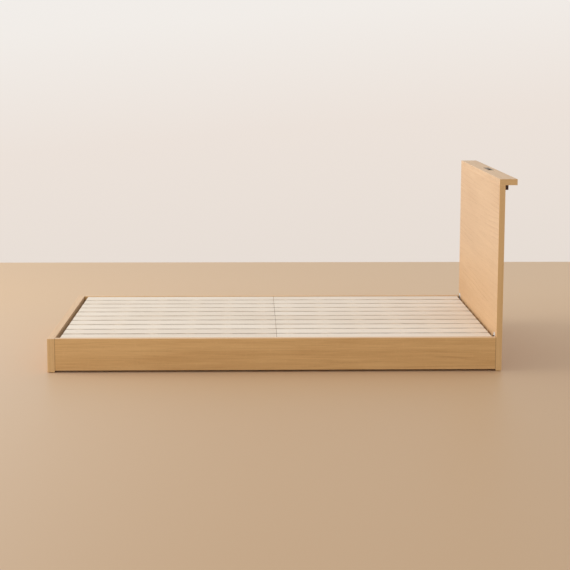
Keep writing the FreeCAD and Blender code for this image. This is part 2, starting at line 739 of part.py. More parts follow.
def make_outlet_faceplate():
    plate = rounded_board("faceplate_blank",
                          (size("outlet_width"), size("outlet_length"), size("outlet_flange_thickness")),
                          (f"{OUTLET_X} - {size('outlet_width')} / 2", f"-{size('outlet_length')} / 2",
                           flange_base_z()), f"{size('outlet_flange_thickness')} / 4")
    width = f"({OUTLET_INNER_WIDTH} - 2 * {size('outlet_wall')})"
    tools = []
    for key, centre in socket_centres().items():
        tools.append(box(f"faceplate_window_{key}", (width, size("socket_length"), size("shelf_thickness")),
                         (f"{OUTLET_X} - {width} / 2", f"{centre} - {size('socket_length')} / 2",
                          f"{flange_base_z()} - {size('shelf_thickness')} / 2")))
    keep(cut("faceplate_cut", plate, tools), "outlet_faceplate")


def make_outlet_housing():
    """An open-topped box under the faceplate, with a hole in its floor for the gland."""
    width = OUTLET_INNER_WIDTH
    length = OUTLET_INNER_LENGTH
    wall = size("outlet_wall")
    height = f"({flange_base_z()} - {housing_base_z()})"
    shell = box("housing_blank", (width, length, height),
                (f"{OUTLET_X} - {width} / 2", f"-{length} / 2", housing_base_z()))
    cavity = box("housing_cavity", (f"{width} - 2 * {wall}", f"{length} - 2 * {wall}", height),
                 (f"{OUTLET_X} - {width} / 2 + {wall}", f"-{length} / 2 + {wall}",
                  f"{housing_base_z()} + {wall}"))
    outlet = rod("housing_gland_hole", size("gland_diameter"), f"3 * {wall}",
                 (OUTLET_X, "0", f"{housing_base_z()} - {wall}"), "+Z")
    keep(cut("housing_cut", shell, [cavity, outlet]), "outlet_housing")


def blade_slots(name, centre, key):
    slots = []
    for place_name, sign in (("first", 1), ("second", -1)):
        start_y = f"{centre} + {sign} * {size('blade_slot_spacing')} / 2 - {size('blade_slot_width')} / 2"
        slots.append(box(f"{name}_{key}_{place_name}",
                         (size("blade_slot_length"), size("blade_slot_width"), f"3 * {size('socket_depth')}"),
                         (f"{OUTLET_X} - {size('blade_slot_length')} / 2", start_y,
                          f"{flange_base_z()} - 2 * {size('socket_depth')}")))
    return slots


def make_outlet_sockets():
    """Two socket blocks that fill the faceplate's windows, each with two blade slots."""
    width = f"({OUTLET_INNER_WIDTH} - 2 * {size('outlet_wall')})"
    height = f"{size('socket_depth')} + {size('outlet_flange_thickness')} / 2"
    sockets = []
    for key, centre in socket_centres().items():
        block = box(f"socket_{key}_blank", (width, size("socket_length"), height),
                    (f"{OUTLET_X} - {width} / 2", f"{centre} - {size('socket_length')} / 2",
                     f"{flange_base_z()} - {size('socket_depth')}"))
        sockets.append(cut(f"socket_{key}", block, blade_slots("socket_slot", centre, key)))
    keep(group("socket_group", sockets), "outlet_sockets")


def make_outlet_contacts():
    contacts = []
    for key, centre in socket_centres().items():
        for place_name, sign in (("first", 1), ("second", -1)):
            offset = f"{sign} * {size('blade_slot_spacing')} / 2"
            start_y = f"{centre} + {offset} + {sign} * {size('blade_slot_width')} / 2"
            if sign > 0:
                start_y = f"{start_y} - {size('contact_thickness')}"
            contacts.append(box(f"contact_{key}_{place_name}",
                                (size("contact_length"), size("contact_thickness"), size("contact_height")),
                                (f"{OUTLET_X} - {size('contact_length')} / 2", start_y,
                                 f"{flange_base_z()} - 2 - {size('contact_height')}")))
    keep(group("contact_group", contacts), "outlet_contacts")


def make_cord_gland():
    start = (OUTLET_X, "0", f"{housing_base_z()} + {size('outlet_wall')}")
    stem = rod("gland_stem", size("gland_diameter"), f"{size('gland_length')}", start, "-Z")
    collar = rod("gland_collar", f"{size('gland_diameter')} + 2 * {size('outlet_wall')}", size("outlet_wall"),
                 (OUTLET_X, "0", housing_base_z()), "-Z")
    bore = rod("gland_bore", size("gland_bore"), f"3 * {size('gland_length')}",
               (OUTLET_X, "0", f"{housing_base_z()} + {size('gland_length')}"), "-Z")
    keep(cut("gland_cut", fuse("gland_body", [stem, collar]), [bore]), "cord_gland")


# ---- slatted deck in two panels ----

def nail_bores(body, name, across, along, head_from_top):
    """A nail's hole, with a seat for its head, cut down through a board of the deck."""
    bores = []
    parts = [("shank", size("nail_diameter"), None)]
    if head_from_top:
        parts.append(("seat", size("nail_head_diameter"), size("nail_head_thickness")))
    for part, diameter, depth in parts:
        sketch = new_sketch(body, f"{name}_{part}_circle", "XY_Plane")
        add_circle(sketch, diameter, across, along)
        sketch.setExpression("AttachmentOffset.Base.z", head_from_top or size("batten_thickness"))
        pocket = body.newObject("PartDesign::Pocket", f"{name}_{part}")
        pocket.Profile = sketch
        if depth is None:
            pocket.Type = "ThroughAll"
        else:
            pocket.setExpression("Length", depth)
        bores.append(pocket)
    return bores


def repeat_along(body, name, originals, role, count, spread):
    pattern = body.newObject("PartDesign::LinearPattern", name)
    pattern.Originals = originals
    pattern.Direction = (next(line for line in body.Origin.OriginFeatures if line.Role == role), [""])
    pattern.setExpression("Length", spread)
    pattern.Occurrences = count
    body.Tip = pattern
    return pattern


def make_slat(half, number):
    name = f"{half}_slat_{number:02d}"
    step = f"{SLAT_SPREAD} * {number - 1} / {SLAT_COUNT - 1}"
    body = rounded_board(name + "_body", (PANEL_LENGTH, size("slat_width"), size("slat_thickness")),
                         (DECK_START_X[half], f"-{DECK_WIDTH} / 2 + {step}", SLAT_BASE_Z), size("slat_round"))
    bores = nail_bores(body, name + "_nail", size("batten_inset"), f"{size('slat_width')} / 2",
                       size("slat_thickness"))
    repeat_along(body, name + "_nail_row", bores, "X_Axis", BATTEN_COUNT, BATTEN_SPREAD)
    keep(body, name)


def make_batten(half, number):
    name = f"{half}_batten_{number}"
    step = f"{BATTEN_SPREAD} * {number - 1} / {BATTEN_COUNT - 1}"
    start_x = f"{DECK_START_X[half]} + {size('batten_inset')} + {step} - {size('batten_width')} / 2"
    body = rounded_board(name + "_body", (size("batten_width"), DECK_WIDTH, size("batten_thickness")),
                         (start_x, f"-{DECK_WIDTH} / 2", BATTEN_BASE_Z), size("edge_round"))
    bores = nail_bores(body, name + "_nail", f"{size('batten_width')} / 2", f"{size('slat_width')} / 2",
                       None)
    repeat_along(body, name + "_nail_row", bores, "Y_Axis", SLAT_COUNT, SLAT_SPREAD)
    keep(body, name)


def make_deck_nails(half):
    """One nail at each crossing of a slat and a batten, its head flush with the slat."""
    nails = []
    first_x = f"{DECK_START_X[half]} + {size('batten_inset')}"
    first_y = f"-{DECK_WIDTH} / 2 + {size('slat_width')} / 2"
    for slat in range(SLAT_COUNT):
        nail_y = f"{first_y} + {SLAT_SPREAD} * {slat} / {SLAT_COUNT - 1}"
        for batten in range(BATTEN_COUNT):
            nail_x = f"{first_x} + {BATTEN_SPREAD} * {batten} / {BATTEN_COUNT - 1}"
            name = f"{half}_nail_{slat + 1}_{batten + 1}"
            shank = rod(name + "_shank", size("nail_diameter"), size("nail_length"),
                        (nail_x, nail_y, SLAT_TOP_Z), "-Z")
            head = rod(name + "_head", size("nail_head_diameter"), size("nail_head_thickness"),
                       (nail_x, nail_y, SLAT_TOP_Z), "-Z")
            nails.append(fuse(name, [shank, head]))
    keep(group(f"{half}_nail_group", nails), f"{half}_deck_nails")


def make_deck(half):
    for number in range(1, SLAT_COUNT + 1):
        make_slat(half, number)
    for number in range(1, BATTEN_COUNT + 1):
        make_batten(half, number)
    make_deck_nails(half)


def check_document():
    for item in doc.Objects:
        if "Invalid" in item.State or "Error" in item.State:
            raise RuntimeError(f"{item.Name} failed: {item.State}")
    for item in nodes:
        if item.Shape.isNull() or not item.Shape.isValid() or item.Shape.Volume <= 0:
            raise RuntimeError(f"{item.Label} has no valid shape")


def write_nodes():
    os.makedirs(NODES_FOLDER, exist_ok=True)
    for item in nodes:
        item.Shape.exportStep(f"{NODES_FOLDER}/{item.Label}.step")
        print(item.Label, len(item.Shape.Solids), "solids", round(item.Shape.Volume), "mm3")


make_sheet()
make_foot_board()
make_headboard_panel()
make_shelf()
for rail_side in SIDES:
    make_side_rail(rail_side)
    make_ledger(rail_side)
make_ledger_screws()
make_centre_beam()
make_beam_legs()
make_leg_dowels()
make_beam_hangers()
for bracket_end in HANGER_ENDS:
    make_brackets(bracket_end)
make_bracket_bolts()
make_bracket_screws()
make_rail_dowels()
make_shelf_dowels()
make_corner_blocks()
make_block_screws()
make_outlet_faceplate()
make_outlet_housing()
make_outlet_sockets()
make_outlet_contacts()
make_cord_gland()
make_glides()
for deck_half in DECK_START_X:
    make_deck(deck_half)
doc.recompute()
check_document()
write_nodes()
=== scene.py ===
import math

import bmesh
import bpy
from mathutils import Matrix, Vector


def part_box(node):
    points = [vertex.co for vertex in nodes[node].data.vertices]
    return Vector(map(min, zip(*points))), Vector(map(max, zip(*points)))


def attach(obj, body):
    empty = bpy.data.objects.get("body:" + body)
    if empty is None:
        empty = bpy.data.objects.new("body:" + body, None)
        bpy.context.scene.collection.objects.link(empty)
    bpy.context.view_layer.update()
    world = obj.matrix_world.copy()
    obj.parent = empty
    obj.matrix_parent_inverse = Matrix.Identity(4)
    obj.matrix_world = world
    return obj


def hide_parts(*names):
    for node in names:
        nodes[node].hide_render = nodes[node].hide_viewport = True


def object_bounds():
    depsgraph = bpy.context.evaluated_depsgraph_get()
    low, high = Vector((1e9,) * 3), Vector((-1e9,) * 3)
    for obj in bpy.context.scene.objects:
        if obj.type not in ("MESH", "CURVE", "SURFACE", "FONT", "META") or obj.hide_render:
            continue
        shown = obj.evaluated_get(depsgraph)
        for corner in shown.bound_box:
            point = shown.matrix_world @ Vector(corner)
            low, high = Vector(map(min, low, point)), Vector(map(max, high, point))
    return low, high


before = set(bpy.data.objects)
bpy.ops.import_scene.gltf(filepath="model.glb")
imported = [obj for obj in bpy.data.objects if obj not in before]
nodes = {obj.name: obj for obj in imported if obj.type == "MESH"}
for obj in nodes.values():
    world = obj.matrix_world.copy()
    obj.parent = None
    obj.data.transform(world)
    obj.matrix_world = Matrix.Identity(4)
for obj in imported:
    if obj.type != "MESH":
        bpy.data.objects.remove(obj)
cad_low, cad_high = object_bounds()

MM = 0.001
X, Y, Z = 0, 1, 2

# ---- places read from the frame ----

head_low, head_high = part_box("headboard_panel")
shelf_low, shelf_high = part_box("headboard_shelf")
foot_low, foot_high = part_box("foot_board")
FIRST_SLAT_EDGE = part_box("foot_slat_01")[0].y
SLAT_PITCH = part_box("foot_slat_02")[0].y - FIRST_SLAT_EDGE
# Just short of where the deck's two halves meet, counted from the foot end.
DECK_SPLIT = 1.015


# ---- shader maths ----

class Value:
    """A socket that adds, subtracts, multiplies and divides by adding Math nodes."""

    def __init__(self, finish, socket):
        self.finish = finish
        self.socket = socket

    def math(self, operation, *others):
        made = self.finish.tree.nodes.new("ShaderNodeMath")
        made.operation = operation
        for index, value in enumerate((self, *others)):
            self.finish.feed(made.inputs[index], value)
        return Value(self.finish, made.outputs[0])

    def flipped(self, operation, other):
        made = self.finish.tree.nodes.new("ShaderNodeMath")
        made.operation = operation
        self.finish.feed(made.inputs[0], other)
        self.finish.feed(made.inputs[1], self)
        return Value(self.finish, made.outputs[0])

    def __add__(self, other):
        return self.math("ADD", other)

    def __radd__(self, other):
        return self.math("ADD", other)

    def __sub__(self, other):
        return self.math("SUBTRACT", other)

    def __rsub__(self, other):
        return self.flipped("SUBTRACT", other)

    def __mul__(self, other):
        return self.math("MULTIPLY", other)

    def __rmul__(self, other):
        return self.math("MULTIPLY", other)

    def __truediv__(self, other):
        return self.math("DIVIDE", other)

    def __abs__(self):
        return self.math("ABSOLUTE")

    def floor(self):
        return self.math("FLOOR")

    def fraction(self):
        return self.math("FRACT")

    def least(self, other):
        return self.math("MINIMUM", other)

    def most(self, other):
        return self.math("MAXIMUM", other)

    def between(self, start, end, low=0.0, high=1.0):
        """Runs smoothly from low to high while the value goes from start to end."""
        return self.finish.node(
            "ShaderNodeMapRange",
            {"interpolation_type": "SMOOTHSTEP"},
            {"Value": self, "From Min": start, "From Max": end, "To Min": low, "To Max": high},
        )


class Finish:
    """One procedural material, with its nodes added one at a time."""

    def __init__(self, name, **constants):
        self.material = bpy.data.materials.new(name)
        self.material.use_nodes = True
        self.tree = self.material.node_tree
        self.shader = self.tree.nodes["Principled BSDF"]
        for key, value in constants.items():
            self.shader.inputs[key.replace("_", " ")].default_value = value
        coordinates = self.tree.nodes.new("ShaderNodeTexCoord")
        self.axes = self.parts(coordinates.outputs["Object"])
        self.facing = self.parts(coordinates.outputs["Normal"])

    def parts(self, vector):
        split = self.tree.nodes.new("ShaderNodeSeparateXYZ")
        self.tree.links.new(vector, split.inputs[0])
        return [Value(self, output) for output in split.outputs]

    def feed(self, socket, value):
        if isinstance(value, Value):
            self.tree.links.new(value.socket, socket)
        else:
            socket.default_value = value

    def node(self, kind, settings=None, sockets=None, output=0):
        """Any other node: its kind, its settings and what goes into its sockets."""
        made = self.tree.nodes.new(kind)
        for name, value in (settings or {}).items():
            setattr(made, name, value)
        for key, value in (sockets or {}).items():
            self.feed(made.inputs[key], value)
        return Value(self, made.outputs[output])

    def vector(self, x, y, z):
        return self.node("ShaderNodeCombineXYZ", None, {"X": x, "Y": y, "Z": z})

    def noise(self, vector, detail=2.0, roughness=0.5):
        """Noise with a size of about one unit of its vector."""
        return self.node(
            "ShaderNodeTexNoise", None,
            {"Vector": vector, "Scale": 1.0, "Detail": detail, "Roughness": roughness},
        )

    def chance(self, number):
        """One random value from 0 to 1 for each number."""
        return self.node("ShaderNodeTexWhiteNoise", {"noise_dimensions": "1D"}, {"W": number})

    def mix(self, share, first, second, blend="MIX"):
        """A colour between two colours."""
        made = self.tree.nodes.new("ShaderNodeMix")
        made.data_type = "RGBA"
        made.blend_type = blend
        share_socket, first_socket, second_socket = made.inputs[0], made.inputs[6], made.inputs[7]
        self.feed(share_socket, share)
        for socket, color in ((first_socket, first), (second_socket, second)):
            self.feed(socket, color if isinstance(color, Value) else (*color, 1.0))
        return Value(self, made.outputs[2])

    def darken(self, color, amount):
        """The colour times a grey amount."""
        grey = self.node("ShaderNodeCombineColor", None, {"Red": amount, "Green": amount, "Blue": amount})
        return self.mix(1.0, color, grey, "MULTIPLY")

    def bump(self, height, distance, strength=1.0):
        normal = self.node("ShaderNodeBump", None,
                           {"Height": height, "Distance": distance, "Strength": strength})
        self.set("Normal", normal)

    def set(self, socket, value):
        self.feed(self.shader.inputs[socket], value)


class Grain:
    """Noise that is drawn out along a board's grain."""

    def __init__(self, finish, along, side, depth, shift):
        self.finish = finish
        self.along = along
        self.side = side
        self.depth = depth
        self.shift = shift

    def noise(self, run, cross, detail=2.0, roughness=0.5, shifted=None):
        """run and cross are cycles to the metre, along and across the grain."""
        along = self.along * run
        side = self.side * cross
        if shifted == "along":
            along = along + self.shift
        if shifted == "side":
            side = side + self.shift
        return self.finish.noise(self.finish.vector(along, side, self.depth * cross), detail, roughness)


# ---- finishes ----

def edge_nearness(finish, low, high, width):
    """1 on the edges of a box, 0 further than a width away, on the box's surface."""
    distances = []
    for axis, start, end in zip(finish.axes, low, high):
        distances.append((axis - start).least(end - axis))
    first, second, third = distances
    middle = first.least(second).most(first.most(second).least(third))
    return middle.between(0.0, width, 1.0, 0.0)


def from_ends(finish, grain, low, high):
    """How far in from the nearer of a board's two ends."""
    axis = finish.axes[grain]
    return (axis - low[grain]).least(high[grain] - axis)


def leaf_figure(finish, along, across, depth, leaf, rings, seed):
    """Plain-sawn oak: long arched rings in each leaf of veneer.

    Returns the rings' phase and the leaf's shades.
    """
    leaf_number = (across / leaf + seed).floor()
    own = finish.chance(leaf_number + seed * 3.7)
    slow = finish.noise(finish.vector(along * 0.8, across * 4.0, leaf_number * 4.1 + seed), 3.0)
    wavy = finish.noise(finish.vector(along * 3.5, across * 30.0, leaf_number * 2.3 + seed), 2.0)
    # Each leaf has its arches' middle at a place of its own, which wanders along the board.
    place = ((across / leaf + seed).fraction() - 0.3 - own * 0.4) * leaf + (slow - 0.5) * 0.09
    spread = (place * place + 0.0004).math("SQRT") + depth * 0.3
    phase = (spread + along * 0.028 + own * 0.7 + (wavy - 0.5) * 0.006) * rings
    return phase, own, slow


def ring_lines(phase):
    """The dark late line and the pale early one of each growth ring."""
    ring = phase.fraction()
    late = (ring.between(0.0, 0.16, 1.0, 0.0) + ring.between(0.78, 1.0)).least(1.0)
    early = ring.between(0.16, 0.3) * ring.between(0.34, 0.5, 1.0, 0.0)
    return late, early


def oak_color(finish, share, banded, high, light, dark):
    """The veneer's colour, with the edge bands' own on the ends and the plain oak's on the top edge."""
    color = finish.mix(banded, finish.mix(share, light, dark), finish.mix(share, BAND_LIGHT, BAND_DARK))
    topped = finish.axes[Z].between(high.z - 1.1 * MM, high.z - 0.9 * MM)
    return finish.mix(topped, color, finish.mix(share, OAK_LIGHT, OAK_DARK))


def oak(name, grain, across, low, high, light, dark, leaf=0.24, rings=46.0, seed=0.0,
        lively=1.0, arches=0.42, bounce_glow=0.0, joint_shade=0.0):
    """Light oak veneer under a matt lacquer, its grain along one row axis and edge bands on its ends.

    bounce_glow paints a warm glow of bounced light on the lower part of a tall board. joint_shade paints
    shade along the line where a butted end meets its neighbour.
    """
    finish = Finish(name, Coat_Roughness=0.38, Coat_IOR=1.45, Specular_IOR_Level=0.32)
    axis = finish.axes
    depth = 3 - grain - across
    inside = from_ends(finish, grain, low, high)
    banded = inside.between(0.9 * MM, 1.1 * MM, 1.0, 0.0)
    # On an end, the edge band's grain runs along the band.
    along = axis[grain] * (1 - banded) + axis[across] * banded
    side = axis[across] * (1 - banded) + axis[depth] * banded
    veneer = Grain(finish, along, side, axis[depth], seed)

    # Growth rings, shown only in patches.
    phase, own, slow = leaf_figure(finish, along, side, axis[depth], leaf, rings, seed)
    late, early = ring_lines(phase)
    shown = veneer.noise(1.7, 9.0, shifted="side").between(0.46, 0.64)
    figure = (late * 0.42 - early * 0.26) * shown * arches

    # Streaks from broad to fine, then pores, rays and clouds.
    broad = veneer.noise(2.0, 58.0, 3.0, 0.6, shifted="along")
    streak = veneer.noise(7.0, 230.0, 3.0, 0.65, shifted="side")
    dash = veneer.noise(14.0, 420.0, shifted="along").between(0.55, 0.75)
    fibre = veneer.noise(45.0, 1500.0)
    pores = veneer.noise(70.0, 1700.0, 1.0, 0.4, shifted="side").between(0.57, 0.7) * (0.3 + late * 0.7)
    ray = veneer.noise(110.0, 42.0, 1.0, 0.4, shifted="side").between(0.62, 0.75)
    cloud = veneer.noise(1.3, 3.5, shifted="along")

    streaks = (broad - 0.5) * 0.95 + (streak - 0.5) * 0.95 + dash * 0.16
    patches = (slow - 0.5) * 0.4 + (cloud - 0.5) * 0.8 + (own - 0.5) * 0.16
    tone = streaks * lively + figure + patches + (fibre - 0.5) * 0.2 - ray * 0.06 + 0.4
    share = tone.between(-0.15, 1.15)
    color = oak_color(finish, share, banded, high, light, dark)
    # Painted light: a warmer, more orange tone towards the bottom of the board stands in for light bounced up
    # from the deck.
    if bounce_glow:
        bounce_glow_share = (axis[Z] + (cloud - 0.5) * 0.3).between(0.12, 0.62, bounce_glow, 0.0) * (1 - banded)
        color = finish.mix(bounce_glow_share, color, finish.mix(share, BOUNCE_GLOW_LIGHT, BOUNCE_GLOW_DARK))

    # Painted highlight: the colour is lightened along the edges, where the rounded edges catch the light; the
    # edges are also a little smoother from wear.
    wear_and_highlight = edge_nearness(finish, low, high, 2.0 * MM)
    # The hairline where an edge band meets the veneer.
    seam = inside.between(1.25 * MM, 1.4 * MM) * inside.between(1.5 * MM, 1.65 * MM, 1.0, 0.0)
    shade = 1.02 - pores * 0.2 + wear_and_highlight * 0.13 - seam * 0.3
    # Painted shade: a soft dark band along the butted end, where the shadow in the gap to the neighbouring
    # board falls.
    if joint_shade:
        shade = shade - inside.between(1.5 * MM, 4.0 * MM, joint_shade, 0.0)
    finish.set("Base Color", finish.darken(color, shade))
    finish.set("Roughness", 0.47 + streak * 0.1 + pores * 0.2 - wear_and_highlight * 0.08)
    finish.set("Coat Weight", 0.16 - pores * 0.12)
    finish.bump((fibre - 0.5) * 0.25 + late * 0.3 - pores - seam * 0.8, 0.12 * MM, 0.55)
    return finish.material


def knotted(finish, wood, color, dark, knots):
    """The colour with a few small dark knots."""
    place = finish.vector(wood.along * 4.0 + wood.shift, wood.side * 11.0, wood.depth * 2.0)
    distance = finish.node("ShaderNodeTexVoronoi", {"feature": "F1"}, {"Vector": place, "Scale": 1.0},
                           output="Distance")
    core = distance.between(0.035, 0.06, 1.0, 0.0) * knots
    return finish.mix(core, color, tuple(part * 0.42 for part in dark))


def planed_timber(name, grain, light, dark, seed, board_pitch=None, knots=0.0, roughness=0.62):
    """Planed pale softwood with straight growth lines; each board of a row has a tone of its own."""
    finish = Finish(name, Roughness=roughness, Specular_IOR_Level=0.3)
    axis = finish.axes
    along = axis[grain]
    side, depth = [axis[index] for index in range(3) if index != grain]
    shift = seed
    tone = 0.3
    if board_pitch:
        row = ((side - FIRST_SLAT_EDGE + 0.1 * SLAT_PITCH) / board_pitch).floor()
        half = (along - cad_low.x).between(DECK_SPLIT, DECK_SPLIT + 5 * MM)
        own = finish.chance(row + half * 37.0 + seed)
        shift = own * 9.0
        tone = (own - 0.5) * 0.35 + 0.3
    wood = Grain(finish, along, side, depth, shift)
    slow = wood.noise(1.6, 14.0, shifted="along")
    ring = (side * 150.0 + depth * 60.0 + (slow - 0.5) * 9.0 + shift).fraction()
    line = ring.between(0.35, 0.92) * ring.between(0.94, 1.0, 1.0, 0.0)
    streak = wood.noise(9.0, 420.0, 3.0, 0.6, shifted="side")
    fibre = wood.noise(55.0, 2100.0)
    cloud = wood.noise(3.0, 9.0, shifted="along")
    tone = line * 0.3 + (streak - 0.5) * 0.6 + (cloud - 0.5) * 0.6 + tone
    color = finish.mix(tone.between(-0.05, 1.0), light, dark)
    if knots:
        color = knotted(finish, wood, color, dark, knots)
    # The two faces that cut the grain show its rings as arcs, and take in more dirt.
    cut = abs(finish.facing[grain]).between(0.6, 0.85)
    arcs = ((side * side + depth * depth * 4.0).math("SQRT") * 420.0 + (slow - 0.5) * 3.0).fraction()
    ringed = arcs.between(0.2, 0.85) * 0.16
    pits = wood.noise(900.0, 1500.0).between(0.52, 0.72)
    finish.set("Base Color", finish.darken(color, 1 - cut * (0.08 + ringed + pits * 0.1)))
    finish.set("Roughness", roughness - 0.06 + streak * 0.12 + cut * 0.1)
    finish.bump((fibre - 0.5) * 0.6 + line * 0.5 - pits * cut, 0.1 * MM, 0.5)
    return finish.material


def plated_steel(name, color, rough, seed=0.0):
    """Bright plating with soft mottling and fine scratches."""
    finish = Finish(name, Metallic=1.0)
    axis = finish.axes
    mottle = finish.noise(finish.vector(axis[0] * 160.0 + seed, axis[1] * 160.0, axis[2] * 160.0), 3.0, 0.6)
    scratch = finish.noise(finish.vector(axis[0] * 900.0, axis[1] * 900.0, axis[2] * 60.0 + seed), 2.0, 0.6)
    dull = tuple(part * 0.72 for part in color)
    finish.set("Base Color", finish.mix(mottle.between(0.3, 0.75), color, dull))
    finish.set("Roughness", rough + (mottle - 0.5) * 0.22 + (scratch - 0.5) * 0.12)
    finish.bump(scratch + mottle * 0.5, 0.05 * MM, 0.35)
    return finish.material


def moulded_plastic(name, color, rough, grain=2400.0):
    """Moulded plastic with a fine spark-eroded texture and faint flow marks."""
    finish = Finish(name, Specular_IOR_Level=0.45)
    axis = finish.axes
    texture = finish.noise(finish.vector(axis[0] * grain, axis[1] * grain, axis[2] * grain), 2.0, 0.6)
    flow = finish.noise(finish.vector(axis[0] * 40.0, axis[1] * 25.0, axis[2] * 40.0), 2.0)
    lighter = tuple(min(1.0, part * 1.35 + 0.004) for part in color)
    finish.set("Base Color", finish.mix(flow.between(0.25, 0.8), color, lighter))
    finish.set("Roughness", rough + (texture - 0.5) * 0.12 + (flow - 0.5) * 0.08)
    finish.bump(texture, 0.03 * MM, 0.4)
    return finish.material


def dress(material, *names):
    for name in names:
        slots = nodes[name].data.materials
        slots.clear()
        slots.append(material)


OAK_LIGHT = (0.77, 0.535, 0.325)
OAK_DARK = (0.58, 0.36, 0.19)
RAIL_LIGHT = (0.755, 0.487, 0.218)
RAIL_DARK = (0.52, 0.290, 0.105)
BAND_LIGHT = (0.735, 0.492, 0.240)
BAND_DARK = (0.60, 0.365, 0.150)
# The colours of the painted glow of bounced light low on the headboard.
BOUNCE_GLOW_LIGHT = (0.74, 0.475, 0.25)
BOUNCE_GLOW_DARK = (0.55, 0.31, 0.14)
SLAT_LIGHT = (0.90, 0.81, 0.70)
SLAT_DARK = (0.76, 0.645, 0.52)
BATTEN_LIGHT = (0.93, 0.86, 0.765)
BATTEN_DARK = (0.84, 0.74, 0.61)
PINE_LIGHT = (0.76, 0.60, 0.40)
PINE_DARK = (0.58, 0.41, 0.23)
BEECH_LIGHT = (0.72, 0.53, 0.34)
BEECH_DARK = (0.58, 0.39, 0.22)


def dress_boards():
    dress(oak("oak_headboard", Y, Z, head_low, head_high, OAK_LIGHT, OAK_DARK, seed=3.1,
              lively=0.45, arches=0.4, bounce_glow=1.0),
          "headboard_panel")
    dress(oak("oak_shelf", Y, X, shelf_low, shelf_high, OAK_LIGHT, OAK_DARK, seed=8.4), "headboard_shelf")
    dress(oak("oak_foot_board", Y, Z, foot_low, foot_high, OAK_LIGHT, OAK_DARK, seed=5.7), "foot_board")
    for side, seed in (("left", 1.3), ("right", 5.5)):
        low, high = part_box(f"side_rail_{side}")
        dress(oak(f"oak_rail_{side}", X, Z, low, high, RAIL_LIGHT, RAIL_DARK, leaf=0.2, seed=seed,
                  lively=0.8, arches=0.36, joint_shade=0.4),
              f"side_rail_{side}")


def dress_timber():
    slat = planed_timber("slat_timber", X, SLAT_LIGHT, SLAT_DARK, 2.0, SLAT_PITCH)
    batten = planed_timber("batten_timber", Y, BATTEN_LIGHT, BATTEN_DARK, 6.0, knots=0.35)
    dress(slat, *[name for name in nodes if "_slat_" in name])
    dress(batten, *[name for name in nodes if "_batten_" in name])
    dress(planed_timber("frame_timber", X, PINE_LIGHT, PINE_DARK, 4.0, knots=0.8),
          "slat_ledger_left", "slat_ledger_right", "centre_beam")
    dress(planed_timber("leg_timber", Z, PINE_LIGHT, PINE_DARK, 9.0), "beam_legs")
    dress(planed_timber("dowel_beech", X, BEECH_LIGHT, BEECH_DARK, 3.0),
          "rail_dowels", "shelf_dowels", "leg_dowels")


def make_finishes():
    return {
        "zinc_steel": plated_steel("zinc_plate", (0.93, 0.93, 0.92), 0.5),
        "yellow_zinc_screw": plated_steel("yellow_zinc", (0.80, 0.66, 0.34), 0.36, 4.0),
        "nail_steel": plated_steel("nail_steel", (0.66, 0.64, 0.60), 0.4, 7.0),
        "black_steel": plated_steel("black_oxide", (0.030, 0.029, 0.028), 0.42, 2.0),
        "contact_brass": plated_steel("contact_brass", (0.78, 0.57, 0.22), 0.3, 5.0),
        "brown_plastic": moulded_plastic("block_plastic", (0.070, 0.024, 0.013), 0.45),
        "outlet_brown": moulded_plastic("outlet_brown", (0.20, 0.145, 0.095), 0.42),
        "outlet_black": moulded_plastic("outlet_black", (0.040, 0.030, 0.021), 0.4),
        "glide_plastic": moulded_plastic("glide_plastic", (0.28, 0.22, 0.16), 0.5),
    }


def dress_fittings(finishes):
    dress(finishes["zinc_steel"], "beam_hangers")
    dress(finishes["nail_steel"], "foot_deck_nails", "head_deck_nails")
    dress(finishes["contact_brass"], "outlet_contacts")
    dress(finishes["outlet_brown"], "outlet_housing")
    dress(finishes["outlet_black"], "cord_gland")
    dress(finishes["glide_plastic"], "floor_glides")


# ---- shaping by hand ----

def deselect_all():
    bpy.ops.object.select_all(action="DESELECT")


def start_box(name, low, high):
    """A cube at its size and place, ready to be shaped."""
    deselect_all()
    low, high = Vector(low), Vector(high)
    bpy.ops.mesh.primitive_cube_add(size=1.0, location=(low + high) / 2, scale=high - low)
    return settle(name)


def start_rod(name, radius, length, sides, top=0.0):
    """An upright cylinder whose top is at a height."""
    deselect_all()
    bpy.ops.mesh.primitive_cylinder_add(vertices=sides, radius=radius, depth=length,
                                        location=(0, 0, top - length / 2))
    return settle(name)


def settle(name):
    piece = bpy.context.object
    piece.name = name
    piece.data.name = name
    bpy.ops.object.transform_apply(location=True, rotation=True, scale=True)
    return piece


